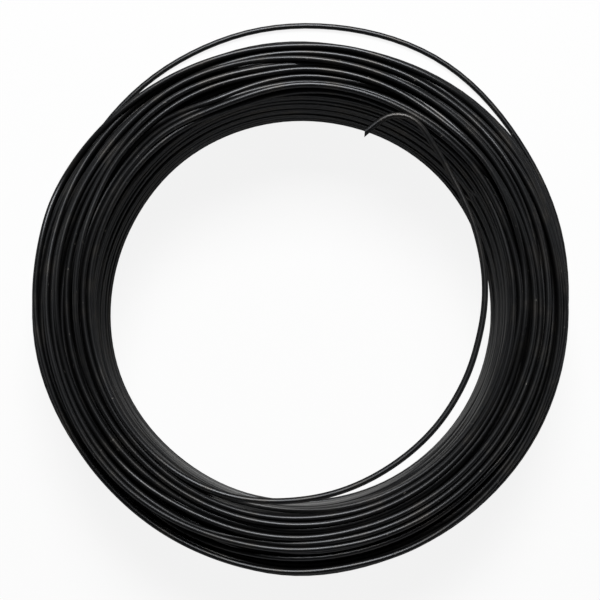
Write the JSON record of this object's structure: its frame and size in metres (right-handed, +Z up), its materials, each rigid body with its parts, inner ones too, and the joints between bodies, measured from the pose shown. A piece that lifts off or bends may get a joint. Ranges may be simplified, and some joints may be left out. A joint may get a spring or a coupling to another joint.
{
  "type": "coil of steel wire",
  "caption": "Round coil of black steel wire, wound in nested layers around an open bore and lying flat, with a loose turn at the rim and a free end that hooks back over the bore's edge.",
  "frame": {"origin": "on the coil's axis, level with the surface that it lies on, at the lower end of the bore", "axes": "+Z up along the coil's axis, +Y towards the side that is uppermost in the picture, +X to its right"},
  "size_m": [0.1456, 0.1496, 0.042],
  "materials": {
    "black_wire": "black annealed steel wire with a satin scale, smooth along its length"
  },
  "bodies": {
    "root": {"wire_coil": "black_wire"}
  },
  "joints": []
}
